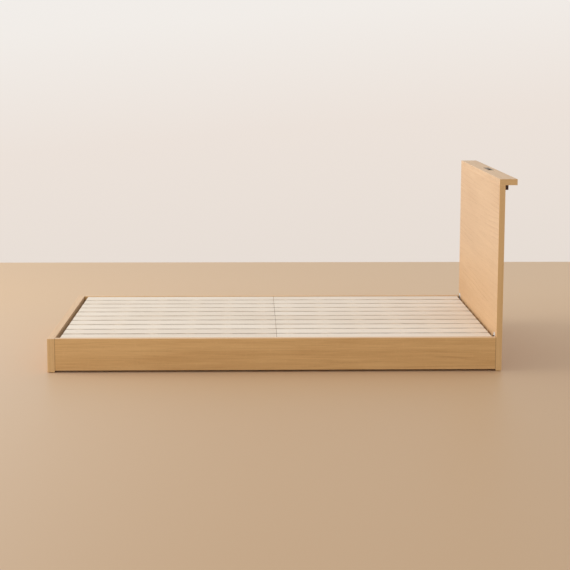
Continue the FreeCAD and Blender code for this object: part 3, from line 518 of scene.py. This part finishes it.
class Shaping:
    """Edit mode on one piece, with its faces and edges picked by their place."""

    def __init__(self, piece):
        self.piece = piece

    def __enter__(self):
        deselect_all()
        bpy.context.view_layer.objects.active = self.piece
        self.piece.select_set(True)
        bpy.ops.object.mode_set(mode="EDIT")
        bpy.ops.mesh.select_all(action="DESELECT")
        return self

    def __exit__(self, *trouble):
        bpy.ops.mesh.select_all(action="SELECT")
        bpy.ops.mesh.remove_doubles(threshold=0.01 * MM)
        bpy.ops.mesh.normals_make_consistent(inside=False)
        bpy.ops.object.mode_set(mode="OBJECT")

    def faces(self, test):
        """Picks the faces whose middle and normal pass a test."""
        bpy.ops.mesh.select_mode(type="FACE")
        bpy.ops.mesh.select_all(action="DESELECT")
        mesh = bmesh.from_edit_mesh(self.piece.data)
        for face in mesh.faces:
            face.select_set(test(face.calc_center_median(), face.normal))
        bmesh.update_edit_mesh(self.piece.data)

    def edges(self, test):
        """Picks the edges whose two ends pass a test."""
        bpy.ops.mesh.select_mode(type="EDGE")
        bpy.ops.mesh.select_all(action="DESELECT")
        mesh = bmesh.from_edit_mesh(self.piece.data)
        for edge in mesh.edges:
            edge.select_set(test(*[vertex.co for vertex in edge.verts]))
        bmesh.update_edit_mesh(self.piece.data)

    def everything(self):
        bpy.ops.mesh.select_all(action="SELECT")

    def split(self, place, normal):
        """Cuts the whole piece's faces along a plane."""
        self.everything()
        bpy.ops.mesh.bisect(plane_co=place, plane_no=normal)


def extrude(x=0.0, y=0.0, z=0.0):
    bpy.ops.mesh.extrude_region_move(TRANSFORM_OT_translate={"value": (x, y, z)})


def finish_with(piece, kind, **settings):
    """Adds a modifier to a piece and applies it."""
    bpy.context.view_layer.objects.active = piece
    modifier = piece.modifiers.new(kind.lower(), kind)
    for name, value in settings.items():
        setattr(modifier, name, value)
    bpy.ops.object.modifier_apply(modifier=modifier.name)


def carve(piece, tool):
    """Takes a tool's shape out of a piece, and puts the tool away."""
    finish_with(piece, "BOOLEAN", operation="DIFFERENCE", solver="EXACT", object=tool)
    bpy.data.objects.remove(tool)


def soften(piece, width, segments=2, angle=35):
    finish_with(piece, "BEVEL", width=width, segments=segments, limit_method="ANGLE",
                angle_limit=math.radians(angle))
    smooth(piece)


def smooth(piece, angle=35):
    deselect_all()
    bpy.context.view_layer.objects.active = piece
    piece.select_set(True)
    bpy.ops.object.shade_smooth_by_angle(angle=math.radians(angle))


def pull_island(waiting):
    """Takes one connected island of vertices out of a set, and returns its points."""
    front = [waiting.pop()]
    points = []
    while front:
        vertex = front.pop()
        points.append(vertex.co.copy())
        for edge in vertex.link_edges:
            other = edge.other_vert(vertex)
            if other in waiting:
                waiting.remove(other)
                front.append(other)
    return points


def loose_solids(name):
    """The box and the points of each separate solid in a CAD node, in order of place."""
    mesh = bmesh.new()
    mesh.from_mesh(nodes[name].data)
    bmesh.ops.remove_doubles(mesh, verts=mesh.verts, dist=0.001 * MM)
    waiting = set(mesh.verts)
    found = []
    while waiting:
        points = pull_island(waiting)
        low = Vector([min(point[axis] for point in points) for axis in range(3)])
        high = Vector([max(point[axis] for point in points) for axis in range(3)])
        found.append((low, high, points))
    mesh.free()
    return sorted(found, key=lambda item: tuple(round(value, 5) for value in item[0]))


def loose_boxes(name):
    return [(low, high) for low, high, _ in loose_solids(name)]


def head_end(low, high, points):
    """Where the middle of a fastener's head is, and the way that it faces."""
    size = high - low
    axis = max(range(3), key=lambda index: size[index])
    middle = (low + high) / 2

    def reach(place):
        """How far out from the fastener's axis its points get at one end."""
        near = [point - middle for point in points if abs(point[axis] - place) < 0.1 * MM]
        for offset in near:
            offset[axis] = 0.0
        return max(offset.length for offset in near)

    head_high = reach(high[axis]) > reach(low[axis])
    facing = Vector()
    facing[axis] = 1 if head_high else -1
    head = middle.copy()
    head[axis] = high[axis] if head_high else low[axis]
    return head, facing


def lay_out(pattern, name, node, slot, finish):
    """One copy of an upright fastener, each with its own mesh, for every solid of a CAD node."""
    for number, solid in enumerate(loose_solids(node), start=1):
        head, facing = head_end(*solid)
        copy = pattern.copy()
        copy.data = pattern.data.copy()
        copy.name = f"{name}_{number:02d}"
        bpy.context.scene.collection.objects.link(copy)
        copy.data.transform(Matrix.Translation(head) @ facing.to_track_quat("Z", "Y").to_matrix().to_4x4())
        hand_over(copy, slot, finish, node)
    bpy.data.objects.remove(pattern)


def hand_over(piece, slot, finish, *replaced):
    """Gives a finished piece its material and its body, and hides the CAD nodes that it stands for."""
    piece.data.materials.clear()
    piece.data.materials.append(finish)
    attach(piece, "frame")
    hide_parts(*replaced)


# ---- fasteners ----

SCREW_HEAD_RADIUS = 4.0 * MM
SCREW_HEAD_HEIGHT = 3.0 * MM
SCREW_HEAD_ROUND = 1.6 * MM
SCREW_SHANK_RADIUS = 2.0 * MM
CROSS_REACH = 2.1 * MM
CROSS_WIDTH = 0.9 * MM
CROSS_DEPTH = 1.8 * MM
BOLT_HEAD_RADIUS = 6.5 * MM
BOLT_HEAD_HEIGHT = 3.5 * MM
BOLT_HEAD_ROUND = 2.6 * MM
BOLT_SHANK_RADIUS = 3.0 * MM
BOLT_HEX_WIDTH = 4.6 * MM
BOLT_HEX_HEIGHT = 2.6 * MM
TOOL_OVERLAP = 0.5 * MM
TIP_SHARE = 0.15
TIP_TAPER = 0.35


def facing_down(middle, normal):
    return normal.z < -0.9


def facing_up(middle, normal):
    return normal.z > 0.99


def rim_at(height):
    """A test for edges that lie level at a height."""
    return lambda first, second: all(abs(end.z - height) < 0.01 * MM for end in (first, second))


def shape_shank(shaping, head_radius, shank_radius, length):
    """Draws a shank with a tapered tip out of the underside of a head."""
    shaping.faces(facing_down)
    bpy.ops.mesh.inset(thickness=head_radius - shank_radius)
    extrude(z=(TIP_SHARE - 1) * length)
    extrude(z=-TIP_SHARE * length)
    bpy.ops.transform.resize(value=(TIP_TAPER, TIP_TAPER, 1.0))


def cross_arm(name, reach_x, reach_y, taper):
    """One arm of the tapered cross, narrower at its foot."""
    arm = start_box(name, (-reach_x, -reach_y, -CROSS_DEPTH), (reach_x, reach_y, TOOL_OVERLAP))
    with Shaping(arm) as shaping:
        shaping.faces(facing_down)
        bpy.ops.transform.resize(value=(*taper, 1.0))
    return arm


def cross_tool():
    """A tapered cross that cuts a screw's recess."""
    tool = cross_arm("cross_tool", CROSS_REACH, CROSS_WIDTH / 2, (0.45, 0.8))
    other = cross_arm("cross_tool_arm", CROSS_WIDTH / 2, CROSS_REACH, (0.8, 0.45))
    finish_with(tool, "BOOLEAN", operation="UNION", solver="EXACT", object=other)
    bpy.data.objects.remove(other)
    return tool


def screw_pattern(length):
    screw = start_rod("screw_pattern", SCREW_HEAD_RADIUS, SCREW_HEAD_HEIGHT, 24)
    with Shaping(screw) as shaping:
        shape_shank(shaping, SCREW_HEAD_RADIUS, SCREW_SHANK_RADIUS, length)
        shaping.edges(rim_at(0.0))
        bpy.ops.mesh.bevel(offset=SCREW_HEAD_ROUND, segments=4, profile=0.6)
    carve(screw, cross_tool())
    smooth(screw, 30)
    return screw


def bolt_pattern(length):
    bolt = start_rod("bolt_pattern", BOLT_HEAD_RADIUS, BOLT_HEAD_HEIGHT, 36)
    with Shaping(bolt) as shaping:
        shape_shank(shaping, BOLT_HEAD_RADIUS, BOLT_SHANK_RADIUS, length)
        shaping.edges(rim_at(0.0))
        bpy.ops.mesh.bevel(offset=BOLT_HEAD_ROUND, segments=5, profile=0.55)
    carve(bolt, start_rod("hex_tool", BOLT_HEX_WIDTH / math.sqrt(3), BOLT_HEX_HEIGHT, 6, top=TOOL_OVERLAP))
    smooth(bolt, 30)
    return bolt


def shank_length(node, head_height):
    low, high = loose_boxes(node)[0]
    return max(high - low) - head_height


def make_fasteners(finishes):
    for node, name in (("ledger_screws", "ledger_screw"), ("bracket_screws", "bracket_screw"),
                       ("corner_block_screws", "block_screw")):
        screw = screw_pattern(shank_length(node, SCREW_HEAD_HEIGHT))
        lay_out(screw, name, node, "yellow_zinc_screw", finishes["yellow_zinc_screw"])
    bolt = bolt_pattern(shank_length("bracket_bolts", BOLT_HEAD_HEIGHT))
    lay_out(bolt, "bracket_bolt", "bracket_bolts", "black_steel", finishes["black_steel"])


# ---- corner brackets ----

BRACKET_WALL = 3.0 * MM
RAIL_LEG_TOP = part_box("foot_corner_brackets")[1].z
BEND_RADIUS = 2.5 * MM
LEG_CORNER = 7.0 * MM


def along_axis(axis, **places):
    """A test for edges that run along one axis at given places on the others."""
    wanted = {"xyz".index(key): value for key, value in places.items()}

    def test(first, second):
        runs = all(abs(first[index] - second[index]) < 0.02 * MM for index in range(3) if index != axis)
        return runs and all(abs(first[index] - value) < 0.05 * MM for index, value in wanted.items())

    return test


def make_bracket(name, node, low, high, inward, finish):
    """A pressed angle: one leg on the board, one on the rail, and a round tab where it stands taller."""
    outward_y = 1 if low.y > 0 else -1
    wall_face = high.y if outward_y > 0 else low.y
    inner_face = wall_face - outward_y * BRACKET_WALL
    board_face = high.x if inward < 0 else low.x
    bend_face = board_face + inward * BRACKET_WALL
    free_end = low.x if inward < 0 else high.x

    def by_the_rail(middle, normal):
        """The inward faces beside the rail that its leg is drawn out of."""
        beside = (middle.y - inner_face) * outward_y > 0 and middle.z < RAIL_LEG_TOP
        return beside and normal.x * inward > 0.9

    piece = start_box(name, (min(board_face, bend_face), low.y, low.z),
                      (max(board_face, bend_face), high.y, high.z))
    with Shaping(piece) as shaping:
        if high.z > RAIL_LEG_TOP + MM:
            shaping.edges(along_axis(X, z=high.z))
            bpy.ops.mesh.bevel(offset=(high.y - low.y) / 2 - 0.05 * MM, segments=10)
            shaping.split((0, 0, RAIL_LEG_TOP), (0, 0, 1))
        shaping.split((0, inner_face, 0), (0, 1, 0))
        shaping.faces(by_the_rail)
        extrude(x=free_end - bend_face)
        shaping.edges(along_axis(Z, x=board_face, y=wall_face))
        bpy.ops.mesh.bevel(offset=BEND_RADIUS, segments=4)
        shaping.edges(along_axis(Y, x=free_end))
        bpy.ops.mesh.bevel(offset=LEG_CORNER, segments=6)
    soften(piece, 0.5 * MM, 2, 40)
    hand_over(piece, "zinc_steel", finish, node)


def make_brackets(finishes):
    for node, inward in (("head_corner_brackets", -1), ("foot_corner_brackets", 1)):
        for low, high in loose_boxes(node):
            side = "left" if low.y > 0 else "right"
            make_bracket(f"{node[:4]}_bracket_{side}", node, low, high, inward, finishes["zinc_steel"])


# ---- blocks under the shelf ----

BLOCK_WALL = 2.6 * MM
BLOCK_ROUND = 1.6 * MM
BLOCK_CELL_DEPTH = 3.8 * MM
SINK_RADIUS = 4.8 * MM
SEAT_THICKNESS = 5.0 * MM
SINK_SIDES = 28


def sink_screw_seats(piece, low, high):
    """Sinks one screw's seat from behind, in one half of a block, and one from below, in the other."""
    middle = (low + high) / 2
    quarter = (high.y - low.y) / 4
    back = start_rod("back_sink_tool", SINK_RADIUS, high.x - low.x, SINK_SIDES)
    lying = Vector((1, 0, 0)).to_track_quat("Z", "Y").to_matrix().to_4x4()
    back.data.transform(
        Matrix.Translation((high.x + SEAT_THICKNESS, middle.y + quarter, middle.z)) @ lying)
    carve(piece, back)
    under = start_rod("under_sink_tool", SINK_RADIUS, high.z - low.z, SINK_SIDES, top=high.z - SEAT_THICKNESS)
    under.data.transform(Matrix.Translation((middle.x, middle.y - quarter, 0)))
    carve(piece, under)


def make_corner_block(number, low, high, finish):
    """A moulded block with two cells in each end, a rib between them, and sunk screw seats."""
    piece = start_box(f"shelf_block_{number}", low, high)
    with Shaping(piece) as shaping:
        shaping.edges(along_axis(Y))
        bpy.ops.mesh.bevel(offset=BLOCK_ROUND, segments=3)
        shaping.split((low + high) / 2, (0, 0, 1))
        for facing in (-1, 1):
            shaping.faces(lambda place, normal: normal.y * facing > 0.9)
            bpy.ops.mesh.inset(thickness=BLOCK_WALL, use_individual=True)
            extrude(y=-facing * BLOCK_CELL_DEPTH)
    sink_screw_seats(piece, low, high)
    soften(piece, 0.35 * MM, 2, 40)
    hand_over(piece, "brown_plastic", finish, "shelf_corner_blocks")


def make_corner_blocks(finishes):
    for number, (low, high) in enumerate(loose_boxes("shelf_corner_blocks"), start=1):
        make_corner_block(number, low, high, finishes["brown_plastic"])


# ---- power outlet ----

PLATE_CORNER = 1.6 * MM
PLATE_RIM = 0.7 * MM
SOCKET_CORNER = 2.6 * MM
SOCKET_RIM = 0.3 * MM
SOCKET_FIT = 0.15 * MM
SOCKET_LIP = 1.0 * MM
SOCKET_SLOPE = 0.4 * MM
BLADE_LENGTH = 8.0 * MM
BLADE_WIDTH = 2.4 * MM
BLADE_SPACING = 12.7 * MM


def rounded_block(name, low, high, corner, rim, segments=4):
    """A block with round upright corners and a soft rim on top."""
    piece = start_box(name, low, high)
    with Shaping(piece) as shaping:
        shaping.edges(along_axis(Z))
        bpy.ops.mesh.bevel(offset=corner, segments=segments)
        shaping.edges(rim_at(high[2]))
        bpy.ops.mesh.bevel(offset=rim, segments=3)
    return piece


def make_faceplate(finishes):
    low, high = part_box("outlet_faceplate")
    plate = rounded_block("outlet_plate", low, high, PLATE_CORNER, PLATE_RIM, 5)
    fit = Vector((SOCKET_FIT, SOCKET_FIT, 0))
    for socket_low, socket_high in loose_boxes("outlet_sockets"):
        window = rounded_block("window_tool", (*(socket_low - fit).xy, low.z - MM),
                               (*(socket_high + fit).xy, high.z + MM), SOCKET_CORNER, 0.2 * MM)
        carve(plate, window)
    soften(plate, 0.3 * MM, 2, 50)
    hand_over(plate, "outlet_brown", finishes["outlet_brown"], "outlet_faceplate")


def make_socket(name, low, high, sink, finish):
    """A socket with a sunk face and a slot for each of a plug's two blades."""
    socket = rounded_block(name, low, high, SOCKET_CORNER, SOCKET_RIM)
    with Shaping(socket) as shaping:
        shaping.faces(facing_up)
        bpy.ops.mesh.inset(thickness=SOCKET_LIP)
        bpy.ops.mesh.inset(thickness=SOCKET_SLOPE, depth=-sink)
    middle = (low + high) / 2
    half_slot = Vector((BLADE_LENGTH / 2, BLADE_WIDTH / 2))
    for offset in (-BLADE_SPACING / 2, BLADE_SPACING / 2):
        place = middle.xy + Vector((0, offset))
        blade = start_box("blade_tool", (*(place - half_slot), low.z - MM),
                          (*(place + half_slot), high.z + MM))
        carve(socket, blade)
    hand_over(socket, "outlet_black", finish, "outlet_sockets")


def make_sockets(finishes):
    kinds = (("right", 2.6 * MM, "outlet_black"), ("left", 0.6 * MM, "outlet_brown"))
    for (side, sink, finish), (low, high) in zip(kinds, loose_boxes("outlet_sockets")):
        make_socket(f"outlet_socket_{side}", low, high, sink, finishes[finish])


# ---- stage, light and camera ----

FLOOR_REACH = 14.0
FLOOR_BACK = 2.415
# Floor colours with painted light in them: darker in front, lighter to the left and far back, where the
# window light falls.
FLOOR_NEAR_PAINTED_SHADE = (0.585, 0.400, 0.243)
FLOOR_LEFT_PAINTED_LIGHT = (0.655, 0.495, 0.350)
FLOOR_FAR_PAINTED_LIGHT = (0.700, 0.495, 0.310)


def make_stage():
    """A plain pale floor that ends some way behind the bed, in front of a pale surround. Its colour holds
    painted light: lighter to the left and far back, darker in front.
    """
    corners = [(-FLOOR_REACH, -FLOOR_REACH, 0), (FLOOR_REACH, -FLOOR_REACH, 0),
               (FLOOR_REACH, FLOOR_BACK, 0), (-FLOOR_REACH, FLOOR_BACK, 0)]
    mesh = bpy.data.meshes.new("floor")
    mesh.from_pydata(corners, [], [(0, 1, 2, 3)])
    floor = bpy.data.objects.new("floor", mesh)
    bpy.context.scene.collection.objects.link(floor)
    paint = Finish("floor_paint", Specular_IOR_Level=0.25)
    axis = paint.axes
    cloud = paint.noise(paint.vector(axis[0] * 0.7, axis[1] * 0.7, 0.0), 2.0)
    # Painted light: the colour runs to the lighter tones to the left and far back.
    near = paint.mix(axis[0].between(-2.0, 0.0), FLOOR_LEFT_PAINTED_LIGHT, FLOOR_NEAR_PAINTED_SHADE)
    paint.set("Base Color", paint.mix(axis[1].between(-0.8, 1.6), near, FLOOR_FAR_PAINTED_LIGHT))
    paint.set("Roughness", 0.44 + cloud * 0.05)
    floor.data.materials.append(paint.material)


# The surround's colours from below the horizon to overhead. It leans, so that it is lighter to the left.
SURROUND = [(0.0, (0.80, 0.725, 0.665)), (0.2, (0.84, 0.76, 0.70)), (0.36, (0.885, 0.845, 0.805)),
            (0.52, (0.89, 0.87, 0.85)), (1.0, (0.74, 0.73, 0.72))]
SURROUND_LEAN = -0.09
SURROUND_FROM = -0.18
SURROUND_TO = 0.42
WINDOW_PLACE = (-6.6, -0.4, 2.7)
WINDOW_TARGET = (0.6, 0.0, 0.45)
WINDOW_WIDTH = 4.4
WINDOW_HEIGHT = 3.2
WINDOW_POWER = 285.0


def window_light():
    """One wide soft light from the foot end."""
    lamp = bpy.data.lights.new("window", "AREA")
    lamp.shape = "RECTANGLE"
    lamp.size = WINDOW_WIDTH
    lamp.size_y = WINDOW_HEIGHT
    lamp.energy = WINDOW_POWER
    holder = bpy.data.objects.new("window", lamp)
    bpy.context.scene.collection.objects.link(holder)
    holder.location = WINDOW_PLACE
    aim = Vector(WINDOW_TARGET) - Vector(WINDOW_PLACE)
    holder.rotation_euler = aim.to_track_quat("-Z", "Y").to_euler()


def light_surround():
    """An even surround, whiter overhead."""
    world = bpy.data.worlds.new("studio")
    bpy.context.scene.world = world
    world.use_nodes = True
    tree = world.node_tree
    place = tree.nodes.new("ShaderNodeTexCoord")
    split = tree.nodes.new("ShaderNodeSeparateXYZ")
    tree.links.new(place.outputs["Generated"], split.inputs[0])
    lift = tree.nodes.new("ShaderNodeMath")
    lift.operation = "MULTIPLY_ADD"
    lift.inputs[1].default_value = SURROUND_LEAN
    tree.links.new(split.outputs["X"], lift.inputs[0])
    tree.links.new(split.outputs["Z"], lift.inputs[2])
    level = tree.nodes.new("ShaderNodeMapRange")
    level.inputs["From Min"].default_value = SURROUND_FROM
    level.inputs["From Max"].default_value = SURROUND_TO
    tree.links.new(lift.outputs[0], level.inputs["Value"])
    shades = tree.nodes.new("ShaderNodeValToRGB")
    tree.links.new(level.outputs[0], shades.inputs[0])
    elements = shades.color_ramp.elements
    while len(elements) < len(SURROUND):
        elements.new(0.5)
    for element, (at, color) in zip(elements, SURROUND):
        element.position = at
        element.color = (*color, 1.0)
    tree.links.new(shades.outputs[0], tree.nodes["Background"].inputs[0])
    bpy.context.scene.view_settings.view_transform = "Standard"


# The camera stands in front of the near side, above it, and looks a little down and to the right.
CAMERA_PLACE = (-0.1300, -5.7025, 1.3873)
CAMERA_DOWN = 0.1088
CAMERA_RIGHT = 0.0274
CAMERA_ROLL = 0.0031
LENS = 75.43
SHIFT_DOWN = 0.1667


def place_camera():
    lens = bpy.data.cameras.new("camera")
    lens.lens = LENS
    lens.sensor_width = 36.0
    lens.shift_y = -SHIFT_DOWN
    holder = bpy.data.objects.new("camera", lens)
    bpy.context.scene.collection.objects.link(holder)
    turn = (Matrix.Rotation(-CAMERA_RIGHT, 4, "Z") @ Matrix.Rotation(math.pi / 2 - CAMERA_DOWN, 4, "X")
            @ Matrix.Rotation(CAMERA_ROLL, 4, "Z"))
    holder.matrix_world = Matrix.Translation(CAMERA_PLACE) @ turn
    bpy.context.scene.camera = holder


dress_boards()
dress_timber()
finishes = make_finishes()
dress_fittings(finishes)
make_fasteners(finishes)
make_brackets(finishes)
make_corner_blocks(finishes)
make_faceplate(finishes)
make_sockets(finishes)
make_stage()
light_surround()
window_light()
place_camera()
